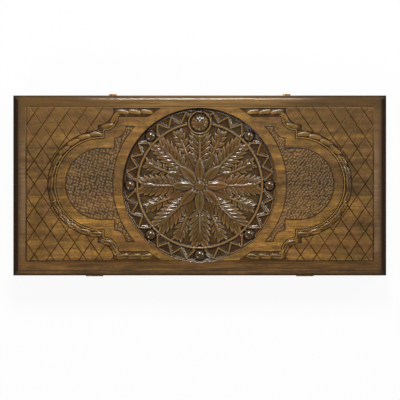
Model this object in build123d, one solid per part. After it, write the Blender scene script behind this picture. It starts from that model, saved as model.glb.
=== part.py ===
"""Folding backgammon case in carved wood: two shallow trays hinged along one long side.

Frame: +X along the case, +Y towards the clasp side, +Z up out of the carved lid. The origin is the
centre of the underside, so the closed case stands on z = 0 with its lid uppermost. All sizes are
in millimetres.
"""

import os
from math import acos, atan, atan2, ceil, cos, degrees, pi, radians, sin, sqrt

from build123d import *

# Case
case_length = 580.0
case_width = 280.0
panel_thickness = 16.0
rail_height = 22.0
rail_thickness = 14.0
fingers_per_corner = 4
rim_ease = 1.0
half_height = panel_thickness + rail_height
parting_z = half_height
lid_top_z = 2 * half_height

# Moulded edge round each outer panel: a quirk, a narrow ledge and a quarter round
moulding_width = 8.0
quirk_depth = 1.2
ovolo_radius = 7.0

# Carved field on the lid, a little nearer the clasp side than the middle of the case
field_length = 539.0
field_width = 239.0
field_shift = 2.2
border_groove_width = 2.2
border_groove_depth = 1.2

# Diamond lattice of V grooves
lattice_pitch_x = 25.1
lattice_pitch_y = 36.5
lattice_groove_width = 1.9
lattice_groove_depth = 1.1

# Cartouche on each side of the medallion. Three outlines of one form: an arc about a shared
# centre, a square notch and a convex curl. Each is (arc radius, notch x, curl start y, curl radius).
cartouche_centre_x = 153.1
ground_outline = (56.0, 133.0, 72.0, 17.9)
band_inner_outline = (69.8, 147.8, 82.2, 22.0)
band_outer_outline = (83.6, 158.5, 91.9, 24.5)
ground_inner_radius = 134.3
ground_depth = 1.4
band_depth = 2.0
band_strip_end_x = 80.2
band_strip_point_x = 60.4
band_margin = 1.6

# Ribbon carved along the band: leaf-shaped turns laid end to end
ribbon_leaf_length = 17.6
ribbon_leaf_width = 6.4
ribbon_leaf_gap = 1.0
ribbon_leaf_height = 1.4
ribbon_leaf_taper = 26.0

# Medallion let into the lid
medallion_radius = 120.4
medallion_gap = 0.1
medallion_pocket_depth = 11.0
rim_floor_depth = 6.0
rim_margin = 2.2
band_ring_outer = 98.6
band_ring_inner = 95.4
band_ring_depth = 3.0
rosette_floor_depth = 7.0

# Zigzag and beads round the medallion
bead_count = 8
bead_radius = 8.2
bead_crown_depth = 0.6
bead_sides = 8
chevrons_between_beads = 3
chevron_width = 1.9
chevron_depth = 3.4
chevron_end_gap_deg = 4.5

# Large boss that takes the place of the bead at the top, in a raised ring of its own
top_bead = 2
top_boss_place = 97.5
top_boss_radius = 13.9
top_boss_ring_outer = 18.6
top_boss_ring_inner = 15.8
top_boss_ring_depth = 2.2
top_boss_ring_sides = 12
top_boss_clearing = 1.2

# Rosette in the middle of the medallion
outer_petals = 16
outer_petal_reach = 92.0
outer_petal_root = 44.0
outer_petal_width = 27.0
outer_petal_depth = 3.6
inner_petals = 8
inner_petal_reach = 46.0
inner_petal_root = 12.0
inner_petal_width = 24.0
inner_petal_depth = 1.8
petal_taper = 24.0
petal_steps = 3
rosette_boss_radius = 15.0
rosette_boss_depth = 0.5

# Playing board in each half
board_thickness = 4.0
board_gap = 0.2
points_per_end = 6
point_length = 214.0
point_base_width = 35.0
inlay_thickness = 1.0
inlay_gap = 0.05

# Butt hinges on the long side away from the clasps
hinge_x = 165.0
hinge_length = 27.0
hinge_centre_knuckle = 13.0
hinge_knuckle_gap = 0.5
hinge_knuckle_radius = 2.0
hinge_pin_radius = 0.8
barrel_sides = 12
hinge_axis_overhang = 0.4
hinge_leaf_thickness = 0.9
hinge_leaf_setback = 0.1
hinge_leaf_reach = 8.6
hinge_recess_gap = 0.3
mortise_gap = 0.1
pin_gap = 0.05

# Countersunk screws in the hinge leaves
hinge_screw_spacing = 16.0
hinge_screw_inset = 5.0
screw_head_radius = 1.7
screw_shank_radius = 0.8
screw_length = 9.0
screw_taper = 2.5
screw_sides = 6
screw_gap = 0.05

# Hasp clasps on the long side towards +Y
clasp_x = 136.0
clasp_width = 12.0
clasp_plate_thickness = 0.8
clasp_barrel_radius = 1.7
clasp_barrel_lift = 4.0
clasp_barrel_standoff = 0.1
clasp_centre_knuckle = 5.5
clasp_knuckle_gap = 0.25
clasp_pin_radius = 0.6
clasp_plate_rise = 12.5
hasp_thickness = 0.9
hasp_clearance = 0.15
hasp_width = 9.0
hasp_drop = 14.0
hasp_lip_radius = 1.3
hasp_window_width = 5.2
hasp_window_height = 3.4
catch_drop = 17.5
catch_top_gap = 1.0
nose_width = 4.4
nose_reach = 1.8
nose_root_height = 2.6
nose_tip_height = 0.8
nose_below_parting = 5.4
clasp_screw_spacing = 6.0
clasp_screw_edge = 3.2
clasp_screw_head_radius = 1.5
clasp_screw_head_height = 0.8
clasp_screw_shank_radius = 0.7
clasp_screw_length = 7.0

# Playing pieces, stored in the lower tray
checker_count = 15
checker_radius = 17.0
checker_thickness = 10.0
checker_sides = 11
checker_wall_gap = 0.5
dice_size = 14.0
dice_chamfer = 1.4
dice_places = ((-13.0, 4.0, 24.0), (12.0, -7.0, -11.0))

# Places worked out from the sizes above
inner_half_length = case_length / 2 - rail_thickness
inner_half_width = case_width / 2 - rail_thickness
board_top_z = panel_thickness + board_thickness
hinge_axis_y = -(case_width / 2 + hinge_axis_overhang)
clasp_face_y = case_width / 2
clasp_axis_y = clasp_face_y + clasp_barrel_standoff + clasp_barrel_radius
clasp_axis_z = parting_z + clasp_barrel_lift
field_half_x = field_length / 2
field_half_y = field_width / 2


def block(x0, x1, y0, y1, z0, z1):
    """Box between two corners, given in any order."""
    size = (abs(x1 - x0), abs(y1 - y0), abs(z1 - z0))
    return Pos((x0 + x1) / 2, (y0 + y1) / 2, (z0 + z1) / 2) * Box(*size)


def rod(radius, x0, x1, y, z):
    """Round bar along X between x0 and x1."""
    return Pos((x0 + x1) / 2, y, z) * Rot(0, 90, 0) * Cylinder(radius, abs(x1 - x0))


def barrel(radius, x0, x1, y, z):
    """Rolled barrel along X between x0 and x1, with few facets."""
    section = Plane.YZ * (Pos(y, z) * RegularPolygon(radius, barrel_sides))
    return Pos((x0 + x1) / 2, 0, 0) * extrude(section, abs(x1 - x0) / 2, both=True)


def fixed_bore(pin_radius, x0, x1, y, z):
    """Cutter for the bore round a pin that doesn't turn in it, with few facets."""
    return barrel((pin_radius + pin_gap) / cos(pi / barrel_sides), x0, x1, y, z)


def turned(points):
    """Solid of revolution about Z from (radius, z) points that start and end on the axis."""
    section = make_face(Plane.XZ * Polyline(*points, close=True))
    return revolve(section, axis=Axis.Z)


def lid_side(shape):
    """The same shape mirrored across the parting plane, from tray to lid."""
    return mirror(shape, about=Plane.XY.offset(parting_z))


def both_sides(shape):
    """The shape and its mirror image across the middle of the case, left and right."""
    return [shape, mirror(shape, about=Plane.YZ)]


def at_field(shape):
    """Moves a shape from the field's own centre to its place on the lid."""
    return Pos(0, field_shift, 0) * shape


# Case halves, made for the tray and mirrored for the lid


def moulded_section(width):
    """Cross-section of an outer panel, moulded edge down, with its outer face on the X axis."""
    half = width / 2
    ledge = half - ovolo_radius
    shoulder = quirk_depth + ovolo_radius
    bend = ovolo_radius * (1 - sqrt(0.5))
    outline = []
    for s in (1, -1):
        corner = [
            (s * (half - moulding_width), 0),
            (s * (half - moulding_width), quirk_depth),
            (s * ledge, quirk_depth),
        ]
        outline += [Line(corner[0], corner[1]), Line(corner[1], corner[2])]
        on_arc = (s * (half - bend), quirk_depth + bend)
        outline.append(ThreePointArc(corner[2], on_arc, (s * half, shoulder)))
        outline.append(Line((s * half, shoulder), (s * half, panel_thickness)))
    inner = half - moulding_width
    outline.append(Line((-inner, 0), (inner, 0)))
    outline.append(Line((-half, panel_thickness), (half, panel_thickness)))
    return make_face(outline)


def moulded_panel():
    """Glued-up board with the moulding mitred round all four edges, outer face down at z = 0."""
    along = extrude(Plane.YZ * moulded_section(case_width), case_length / 2, both=True)
    across = extrude(Plane.XZ * moulded_section(case_length), case_width / 2, both=True)
    return along & across


def finger_cuts(x0, x1, y0, y1, first):
    """Every second finger's space in a corner, from the panel to the rim."""
    step = rail_height / fingers_per_corner
    levels = range(first, fingers_per_corner, 2)
    return [
        block(x0, x1, y0, y1, panel_thickness + k * step, panel_thickness + (k + 1) * step)
        for k in levels
    ]


def long_rail(side):
    """Rail along X on the clasp side (+1) or the hinge side (-1), with finger joints and an eased rim."""
    outer, inner = side * case_width / 2, side * inner_half_width
    end = case_length / 2
    rail = block(-end, end, inner, outer, panel_thickness, parting_z)
    for s in (1, -1):
        rail -= finger_cuts(s * inner_half_length, s * end, inner, outer, 1)
    ease = make_face(
        Plane.YZ
        * Polyline(
            (inner, parting_z - rim_ease),
            (inner + side * rim_ease, parting_z),
            (inner, parting_z),
            close=True,
        )
    )
    return rail - extrude(ease, inner_half_length, both=True)


def short_rail(side):
    """Rail along Y at the right (+1) or left (-1) end."""
    outer, inner = side * case_length / 2, side * inner_half_length
    end = case_width / 2
    rail = block(inner, outer, -end, end, panel_thickness, parting_z)
    for s in (1, -1):
        rail -= finger_cuts(inner, outer, s * inner_half_width, s * end, 0)
    ease = make_face(
        Plane.XZ
        * Polyline(
            (inner, parting_z - rim_ease),
            (inner + side * rim_ease, parting_z),
            (inner, parting_z),
            close=True,
        )
    )
    return rail - extrude(ease, inner_half_width, both=True)


def point_outline(end, place, grow=0.0):
    """One long point based on the left (-1) or right (+1) end rail."""
    pitch = 2 * (inner_half_width - board_gap) / points_per_end
    y = -inner_half_width + board_gap + (place + 0.5) * pitch
    base = end * (inner_half_length - board_gap - 2 * inlay_gap + grow)
    half = point_base_width / 2 + grow
    tip = end * (inner_half_length - point_length * (1 + grow / half))
    return make_face(Polyline((base, y - half), (base, y + half), (tip, y), close=True))


def point_places(light_first_on_left):
    """(end, place) of the twelve points in one half, light ones first and then dark ones."""
    light, dark = [], []
    for end in (-1, 1):
        for place in range(points_per_end):
            is_light = (place % 2 == 0) == ((end == -1) == light_first_on_left)
            (light if is_light else dark).append((end, place))
    return light, dark


def inlays(places):
    """Veneer points lying flush in the tray's playing board."""
    low = board_top_z - inlay_thickness
    return [Pos(0, 0, low) * extrude(point_outline(*p), inlay_thickness) for p in places]


def playing_board():
    """Thin board glued inside the tray, with a pocket for each inlaid point."""
    x, y = inner_half_length - board_gap, inner_half_width - board_gap
    board = block(-x, x, -y, y, panel_thickness, board_top_z)
    low = board_top_z - inlay_thickness
    for places in point_places(True):
        for place in places:
            board -= Pos(0, 0, low) * extrude(point_outline(*place, inlay_gap), 2 * inlay_thickness)
    return board


# Carving on the lid, drawn about the field's own centre in the quadrant of +X and +Y


def cartouche_path(radius, notch_x, curl_y, curl_radius):
    """One outline from the X axis to the end of its curl, as edges, and the curl's end point."""
    edges = []
    if notch_x >= cartouche_centre_x:
        sweep = degrees(acos((notch_x - cartouche_centre_x) / radius))
        edges.append(CenterArc((cartouche_centre_x, 0), radius, 0, sweep))
        notch_y = radius * sin(radians(sweep))
    else:
        edges.append(CenterArc((cartouche_centre_x, 0), radius, 0, 90))
        edges.append(Line((cartouche_centre_x, radius), (notch_x, radius)))
        notch_y = radius
    edges.append(Line((notch_x, notch_y), (notch_x, curl_y)))
    edges.append(CenterArc((notch_x, curl_y + curl_radius), curl_radius, -90, -90))
    return edges, (notch_x - curl_radius, curl_y + curl_radius)


def mirrored_face(edges):
    """Face of one quadrant joined to its mirror image below the X axis."""
    upper = make_face(edges)
    return upper + mirror(upper, about=Plane.XZ)


def ground_face():
    """Stippled ground: the round end of the cartouche and its two horns beside the medallion."""
    edges, end = cartouche_path(*ground_outline)
    corner = (sqrt(ground_inner_radius**2 - end[1] ** 2), end[1])
    edges.append(Line(end, corner))
    edges.append(CenterArc((0, 0), ground_inner_radius, 0, degrees(atan2(corner[1], corner[0]))))
    edges.append(Line((ground_inner_radius, 0), (cartouche_centre_x + ground_outline[0], 0)))
    return mirrored_face(edges)


def band_face():
    """Sunk band round the cartouche, ending in a pointed strip beside the border."""
    outer, outer_end = cartouche_path(*band_outer_outline)
    inner, inner_end = cartouche_path(*band_inner_outline)
    strip_y = field_half_y - band_margin
    strip = [
        outer_end,
        (outer_end[0], strip_y),
        (band_strip_point_x, strip_y),
        (band_strip_end_x, inner_end[1]),
        inner_end,
    ]
    edges = outer + inner + [Line(a, b) for a, b in zip(strip, strip[1:])]
    edges.append(
        Line(
            (cartouche_centre_x + band_inner_outline[0], 0),
            (cartouche_centre_x + band_outer_outline[0], 0),
        )
    )
    return mirrored_face(edges)


def lattice_face():
    """Corner and end of the field outside the band, where the lattice runs."""
    outer, end = cartouche_path(*band_outer_outline)
    rim = [
        end,
        (end[0], field_half_y),
        (field_half_x, field_half_y),
        (field_half_x, 0),
        (cartouche_centre_x + band_outer_outline[0], 0),
    ]
    return mirrored_face(outer + [Line(a, b) for a, b in zip(rim, rim[1:])])


def groove(start, end, width, depth):
    """V groove cutter between two points of the lid's top, running a little proud of it."""
    run = Vector(*end) - Vector(*start)
    rise = depth
    half = width * (depth + rise) / (2 * depth)
    origin = Vector(start[0], start[1], lid_top_z)
    across = Vector(-run.Y, run.X, 0)
    at = Plane(origin=origin, x_dir=across, z_dir=Vector(run.X, run.Y, 0))
    section = make_face(at * Polyline((-half, rise), (0, -depth), (half, rise), close=True))
    return extrude(section, run.length)


def lattice_grooves():
    """All the lattice's V grooves on the right, cut off at the border and the band."""
    slope = lattice_pitch_y / lattice_pitch_x
    reach = field_half_x - (cartouche_centre_x - band_outer_outline[3])
    lines = ceil((field_half_y + reach * slope) / lattice_pitch_y)
    cutters = []
    for k in range(-lines, lines):
        y = (k + 0.5) * lattice_pitch_y
        for s in (1, -1):
            start = (field_half_x, y)
            end = (field_half_x - reach, y + s * reach * slope)
            if min(y, end[1]) < field_half_y and max(y, end[1]) > -field_half_y:
                cutters.append(groove(start, end, lattice_groove_width, lattice_groove_depth))
    height = 2 * lattice_groove_depth
    room = extrude(Pos(0, 0, lid_top_z - height) * lattice_face(), 2 * height)
    return room & (cutters[0] + cutters[1:])


def border_grooves():
    """Rectangle of V grooves round the carved field."""
    x, y = field_half_x, field_half_y
    corners = [(-x, -y), (x, -y), (x, y), (-x, y), (-x, -y)]
    cutters = [
        groove(a, b, border_groove_width, border_groove_depth) for a, b in zip(corners, corners[1:])
    ]
    return cutters[0] + cutters[1:]


def band_centre_line():
    """Middle of the band in the +X +Y quadrant, as straight and round runs of (point, heading)."""
    mid_radius = (band_inner_outline[0] + band_outer_outline[0]) / 2
    notch_x = (band_inner_outline[1] + band_outer_outline[1]) / 2
    curl_y = (band_inner_outline[2] + band_outer_outline[2]) / 2
    curl_radius = (band_inner_outline[3] + band_outer_outline[3]) / 2
    return mid_radius, notch_x, curl_y, curl_radius


def ribbon_leaf(x, y, heading):
    """One turn of the ribbon: a leaning leaf with sloping sides, standing on the band's floor."""
    half, bulge = ribbon_leaf_length / 2, ribbon_leaf_width / 2
    side = [(-half, -0.6 * bulge), (0.4 * half, -bulge)]
    leaf = make_face(Polyline(*side, *[(-u, -v) for u, v in side], close=True))
    floor = Pos(x, y, lid_top_z - band_depth) * Rot(0, 0, heading)
    return floor * extrude(leaf, ribbon_leaf_height, taper=ribbon_leaf_taper)


def ribbon():
    """Ribbon turns round the right cartouche, above and below the X axis."""
    mid_radius, notch_x, curl_y, curl_radius = band_centre_line()
    pitch = ribbon_leaf_length + ribbon_leaf_gap
    step = degrees(pitch / mid_radius)
    leaves = [ribbon_leaf(cartouche_centre_x + mid_radius, 0, 90)]
    turns = []
    count = int(90 / step)
    for k in range(1, count + 1):
        a = k * step
        x = cartouche_centre_x + mid_radius * cos(radians(a))
        turns.append((x, mid_radius * sin(radians(a)), a + 90))
    curl_step = 90 / 2
    for k in range(2):
        a = radians(-90 - (k + 0.5) * curl_step)
        centre_y = curl_y + curl_radius
        turns.append((notch_x + curl_radius * cos(a), centre_y + curl_radius * sin(a), degrees(a) - 90))
    strip_y = (field_half_y - band_margin + band_inner_outline[2] + band_inner_outline[3]) / 2
    x = notch_x - curl_radius - ribbon_leaf_length / 2
    while x - ribbon_leaf_length / 2 > band_strip_end_x - ribbon_leaf_width:
        turns.append((x, strip_y, 180))
        x -= pitch
    for x, y, heading in turns:
        leaves.append(ribbon_leaf(x, y, heading))
        leaves.append(ribbon_leaf(x, -y, -heading))
    return leaves


def carved_panel():
    """The lid's outer panel with its border, lattice, cartouches and the medallion's pocket."""
    panel = lid_side(moulded_panel())
    below = lid_top_z - medallion_pocket_depth
    panel -= Pos(0, 0, below) * extrude(Circle(medallion_radius), 2 * medallion_pocket_depth)
    panel -= at_field(border_grooves())
    for cutter in both_sides(lattice_grooves()):
        panel -= at_field(cutter)
    ground = extrude(Pos(0, 0, lid_top_z - ground_depth) * ground_face(), 2 * ground_depth)
    band = extrude(Pos(0, 0, lid_top_z - band_depth) * band_face(), 2 * band_depth)
    for cutter in both_sides(ground) + both_sides(band):
        panel -= at_field(cutter)
    for leaf in ribbon():
        for side in both_sides(leaf):
            panel += at_field(side)
    return panel


# Medallion


def on_medallion(shape, angle):
    """Turns a shape made along +X to its place round the medallion."""
    return Rot(0, 0, angle) * shape


def at_angle(radius, angle):
    """Point of the medallion's plane at a radius and an angle in degrees."""
    return (radius * cos(radians(angle)), radius * sin(radians(angle)))


def zigzag():
    """Narrow raised zigzag between each pair of beads."""
    sector = 360 / bead_count
    period = (sector - 2 * chevron_end_gap_deg) / chevrons_between_beads
    outer = medallion_radius - rim_margin - chevron_width
    inner = band_ring_outer + chevron_width
    steps = range(2 * chevrons_between_beads + 1)
    bends = [((inner, outer)[k % 2], chevron_end_gap_deg + k * period / 2) for k in steps]
    near = [at_angle(radius - chevron_width, angle) for radius, angle in bends]
    far = [at_angle(radius + chevron_width, angle) for radius, angle in reversed(bends)]
    ridge = make_face(Polyline(*near, *far, close=True))
    bar = Pos(0, 0, lid_top_z - rim_floor_depth) * extrude(ridge, rim_floor_depth - chevron_depth)
    return [on_medallion(bar, b * sector) for b in range(bead_count)]


def petal(root, reach, width, top_depth):
    """One petal along +X: a pointed leaf with sloping sides, standing on the rosette's floor."""
    steps = range(1, petal_steps)
    side = [(root + (reach - root) * k / petal_steps, width / 2 * sin(pi * k / petal_steps)) for k in steps]
    back = [(x, -y) for x, y in side]
    leaf = make_face(Polyline((root, 0), *back, (reach, 0), *reversed(side), close=True))
    height = rosette_floor_depth - top_depth
    return Pos(0, 0, lid_top_z - rosette_floor_depth) * extrude(leaf, height, taper=petal_taper)


def dome(radius, crown_depth, floor_depth):
    """Boss cut in facets from the floor to its crown, steep below and shallow above."""
    height = floor_depth - crown_depth
    shoulder, crown = 0.86 * radius, 0.45 * radius
    low, high = 0.5 * height, 0.5 * height
    skirt = RegularPolygon(radius, bead_sides)
    cap = RegularPolygon(shoulder, bead_sides)
    boss = extrude(skirt, low, taper=degrees(atan((radius - shoulder) / low)))
    boss += Pos(0, 0, low) * extrude(cap, high, taper=degrees(atan((shoulder - crown) / high)))
    return Pos(0, 0, lid_top_z - floor_depth) * boss


def top_boss():
    """Room cleared for the large boss, and the boss with its ring, made along +X."""
    outline = RegularPolygon(top_boss_ring_outer, top_boss_ring_sides)
    opening = RegularPolygon(top_boss_ring_inner, top_boss_ring_sides)
    cleared = RegularPolygon(top_boss_ring_outer + top_boss_clearing, top_boss_ring_sides)
    room = Pos(top_boss_place, 0, lid_top_z - rim_floor_depth) * extrude(cleared, rim_floor_depth)
    height = rosette_floor_depth - top_boss_ring_depth
    ring = Pos(top_boss_place, 0, lid_top_z - rosette_floor_depth) * extrude(outline - opening, height)
    ball = Pos(top_boss_place, 0, 0) * dome(top_boss_radius, bead_crown_depth, rosette_floor_depth)
    return room, ring + ball


def medallion():
    """Carved disc let into the lid: zigzag with beads, plain ring and rosette."""
    radius = medallion_radius - medallion_gap
    base = lid_top_z - medallion_pocket_depth
    floor = lid_top_z - rim_floor_depth
    ring_top = lid_top_z - band_ring_depth
    rosette_floor = lid_top_z - rosette_floor_depth
    disc = turned(
        [
            (0, base),
            (radius, base),
            (radius, floor),
            (band_ring_outer, floor),
            (band_ring_outer, ring_top),
            (band_ring_inner, ring_top),
            (band_ring_inner, rosette_floor),
            (0, rosette_floor),
        ]
    )
    disc += zigzag()
    bead = dome(bead_radius, bead_crown_depth, rim_floor_depth)
    bead_ring = (medallion_radius - rim_margin + band_ring_outer) / 2
    for k in range(bead_count):
        if k != top_bead:
            disc += on_medallion(Pos(bead_ring, 0, 0) * bead, k * 360 / bead_count)
    outer = petal(outer_petal_root, outer_petal_reach, outer_petal_width, outer_petal_depth)
    disc += [on_medallion(outer, (k + 0.5) * 360 / outer_petals) for k in range(outer_petals)]
    inner = petal(inner_petal_root, inner_petal_reach, inner_petal_width, inner_petal_depth)
    disc += [on_medallion(inner, k * 360 / inner_petals) for k in range(inner_petals)]
    disc += dome(rosette_boss_radius, rosette_boss_depth, rosette_floor_depth)
    room, boss = top_boss()
    angle = top_bead * 360 / bead_count
    disc -= on_medallion(room, angle)
    disc += on_medallion(boss, angle)
    return disc


# Hinges


def hinge_outer_knuckle():
    """Length of each of the tray leaf's two knuckles."""
    return (hinge_length - hinge_centre_knuckle) / 2 - hinge_knuckle_gap


def screw(head_radius, shank_radius, head_height, length, gap=0.0):
    """Countersunk wood screw with few facets, pointing down from its head's flat top at z = 0."""
    flare = degrees(atan((head_radius - shank_radius) / head_height))
    head = extrude(RegularPolygon(head_radius + gap, screw_sides), head_height, taper=flare)
    shank = extrude(RegularPolygon(shank_radius + gap, screw_sides), length + gap, taper=screw_taper)
    return Rot(180, 0, 0) * (head + shank)


def hinge_screw_places(x):
    """Places of the two screws in one leaf, at the leaf's face."""
    y = -case_width / 2 + hinge_screw_inset
    z = parting_z - hinge_leaf_setback
    return [Pos(x + s * hinge_screw_spacing / 2, y, z) for s in (1, -1)]


def hinge_screws(gap=0.0):
    """The tray's hinge screws, or with a gap the holes that take them."""
    one = screw(screw_head_radius, screw_shank_radius, hinge_leaf_thickness, screw_length, gap)
    return [place * one for x in (-hinge_x, hinge_x) for place in hinge_screw_places(x)]


def tray_leaf(x):
    """The tray's leaf of one hinge, with the two outer knuckles."""
    half, inner = hinge_length / 2, hinge_centre_knuckle / 2 + hinge_knuckle_gap
    top = parting_z - hinge_leaf_setback
    leaf = block(-half, half, hinge_axis_y, -case_width / 2 + hinge_leaf_reach, top - hinge_leaf_thickness, top)
    clear = hinge_knuckle_radius + hinge_recess_gap
    leaf -= block(-inner, inner, hinge_axis_y - clear, hinge_axis_y + clear, top - clear, top + clear)
    for s in (1, -1):
        leaf += barrel(hinge_knuckle_radius, s * inner, s * half, hinge_axis_y, parting_z)
    leaf -= fixed_bore(hinge_pin_radius, -half, half, hinge_axis_y, parting_z)
    return Pos(x, 0, 0) * leaf - hinge_screws(screw_gap)


def lid_leaf(x):
    """The lid's leaf of one hinge, with the centre knuckle."""
    half, inner = hinge_length / 2, hinge_centre_knuckle / 2
    low = parting_z + hinge_leaf_setback
    leaf = block(-half, half, hinge_axis_y, -case_width / 2 + hinge_leaf_reach, low, low + hinge_leaf_thickness)
    clear = hinge_knuckle_radius + hinge_recess_gap
    for s in (1, -1):
        edge = s * (inner + hinge_knuckle_gap / 2)
        leaf -= block(edge, s * half, hinge_axis_y - clear, hinge_axis_y + clear, low - clear, low + clear)
    leaf += barrel(hinge_knuckle_radius, -inner, inner, hinge_axis_y, parting_z)
    leaf -= rod(hinge_pin_radius + pin_gap, -half, half, hinge_axis_y, parting_z)
    return Pos(x, 0, 0) * leaf - [lid_side(s) for s in hinge_screws(screw_gap)]


def hinge_cuts():
    """What the tray's hinge-side rail loses: mortises, barrel recesses and screw holes."""
    half = hinge_length / 2 + mortise_gap
    depth = hinge_leaf_setback + hinge_leaf_thickness
    back = -case_width / 2
    inner = back + hinge_leaf_reach + mortise_gap
    cuts = hinge_screws(screw_gap)
    for x in (-hinge_x, hinge_x):
        cuts.append(block(x - half, x + half, back - 1, inner, parting_z - depth, parting_z + 1))
        recess = hinge_knuckle_radius + hinge_recess_gap
        cuts.append(rod(recess, x - half, x + half, hinge_axis_y, parting_z))
    return cuts


# Clasps. Each is a plate on the lid, a hasp that hangs from it, and a catch on the tray


def clasp_screw(gap=0.0):
    """Clasp screw lying along Y, its head's flat top on the plates' outer face."""
    one = screw(
        clasp_screw_head_radius,
        clasp_screw_shank_radius,
        clasp_screw_head_height,
        clasp_screw_length,
        gap,
    )
    return Pos(0, clasp_face_y + clasp_plate_thickness, 0) * Rot(-90, 0, 0) * one


def clasp_screws(z, gap=0.0):
    """Four screws at one height: two in each clasp."""
    xs = [s * clasp_x + t * clasp_screw_spacing / 2 for s in (-1, 1) for t in (-1, 1)]
    return [Pos(x, 0, z) * clasp_screw(gap) for x in xs]


plate_top_z = clasp_axis_z + clasp_plate_rise
plate_screw_z = plate_top_z - clasp_screw_edge
catch_bottom_z = parting_z - catch_drop
catch_screw_z = catch_bottom_z + clasp_screw_edge


def clasp_plate(x):
    """Plate on the lid's front rail, its lower edge rolled into two knuckles."""
    half, inner = clasp_width / 2, clasp_centre_knuckle / 2 + clasp_knuckle_gap
    front = clasp_face_y + clasp_plate_thickness
    plate = block(-half, half, clasp_face_y, front, clasp_axis_z, plate_top_z)
    plate = chamfer(plate.edges().filter_by(Axis.Y).group_by(Axis.Z)[-1], clasp_screw_edge / 2)
    clear = clasp_barrel_radius + clasp_knuckle_gap
    plate -= block(-inner, inner, clasp_face_y, front + clear, clasp_axis_z - clear, clasp_axis_z + clear)
    for s in (1, -1):
        plate += barrel(clasp_barrel_radius, s * inner, s * half, clasp_axis_y, clasp_axis_z)
    plate -= fixed_bore(clasp_pin_radius, -half, half, clasp_axis_y, clasp_axis_z)
    return Pos(x, 0, 0) * plate - clasp_screws(plate_screw_z, screw_gap)


def hasp(x):
    """Swinging strap with its centre knuckle, window and finger lip."""
    back = clasp_face_y + clasp_plate_thickness + hasp_clearance
    front = back + hasp_thickness
    bottom = clasp_axis_z - hasp_drop
    neck, half = clasp_centre_knuckle / 2, hasp_width / 2
    neck_z = clasp_axis_z - clasp_barrel_radius - clasp_knuckle_gap
    strap = block(-neck, neck, back, front, neck_z, clasp_axis_z)
    shoulder = Plane.XZ * Polyline(
        (-neck, neck_z),
        (neck, neck_z),
        (half, neck_z - (half - neck)),
        (half, bottom),
        (-half, bottom),
        (-half, neck_z - (half - neck)),
        close=True,
    )
    middle = (front + back) / 2
    strap += Pos(0, middle, 0) * extrude(make_face(shoulder), hasp_thickness / 2, both=True)
    strap += barrel(clasp_barrel_radius, -neck, neck, clasp_axis_y, clasp_axis_z)
    strap += barrel(hasp_lip_radius, -half, half, back + hasp_lip_radius, bottom)
    window_z = parting_z - nose_below_parting
    w, h = hasp_window_width / 2, hasp_window_height / 2
    strap -= block(-w, w, back - 1, front + 1, window_z - h, window_z + h)
    strap -= rod(clasp_pin_radius + pin_gap, -neck, neck, clasp_axis_y, clasp_axis_z)
    return Pos(x, 0, 0) * strap


def catch(x):
    """Plate on the tray's front rail with the nose that the hasp's window drops over."""
    half = clasp_width / 2
    front = clasp_face_y + clasp_plate_thickness
    plate = block(-half, half, clasp_face_y, front, catch_bottom_z, parting_z - catch_top_gap)
    plate = chamfer(plate.edges().filter_by(Axis.Y).group_by(Axis.Z)[0], clasp_screw_edge / 2)
    middle = parting_z - nose_below_parting
    root, tip = nose_root_height / 2, nose_tip_height / 2
    nose = make_face(
        Plane.YZ
        * Polyline(
            (clasp_face_y, middle - root),
            (front, middle - root),
            (front + nose_reach, middle - root + tip),
            (front + nose_reach, middle),
            (front, middle + root),
            (clasp_face_y, middle + root),
            close=True,
        )
    )
    plate += extrude(nose, nose_width / 2, both=True)
    return Pos(x, 0, 0) * plate - clasp_screws(catch_screw_z, screw_gap)


def clasp_pin(x):
    """Pin through the plate's knuckles and the hasp."""
    half = clasp_width / 2
    return rod(clasp_pin_radius, x - half, x + half, clasp_axis_y, clasp_axis_z)


# Playing pieces


def checker():
    """Checker standing on z = 0, a disc with few facets."""
    return extrude(RegularPolygon(checker_radius, checker_sides), checker_thickness)


def checker_row(side):
    """Checkers in one row along a long rail: clasp side (+1) or hinge side (-1)."""
    y = side * (inner_half_width - checker_radius - checker_wall_gap)
    reach = inner_half_length - checker_radius - checker_wall_gap
    pitch = 2 * reach / (checker_count - 1)
    one = checker()
    return [Pos(-reach + k * pitch, y, board_top_z) * one for k in range(checker_count)]


def dice():
    """Two dice lying in the middle of the tray."""
    cube = Box(dice_size, dice_size, dice_size, align=(Align.CENTER, Align.CENTER, Align.MIN))
    cube = chamfer(cube.edges(), dice_chamfer)
    return [Pos(x, y, board_top_z) * Rot(0, 0, turn) * cube for x, y, turn in dice_places]


# Assembly

parts = {}

tray_light, tray_dark = point_places(True)
tray_board = playing_board()
hinge_rail = long_rail(-1) - hinge_cuts()
clasp_rail = long_rail(1)
light_inlays, dark_inlays = inlays(tray_light), inlays(tray_dark)

parts["tray_base_panel"] = moulded_panel()
parts["tray_hinge_rail"] = hinge_rail
parts["tray_clasp_rail"] = clasp_rail - clasp_screws(catch_screw_z, screw_gap)
parts["tray_left_rail"] = short_rail(-1)
parts["tray_right_rail"] = short_rail(1)
parts["tray_playing_board"] = tray_board
parts["tray_light_points"] = light_inlays
parts["tray_dark_points"] = dark_inlays
parts["tray_hinge_screws"] = hinge_screws()
parts["tray_clasp_screws"] = clasp_screws(catch_screw_z)

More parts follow.
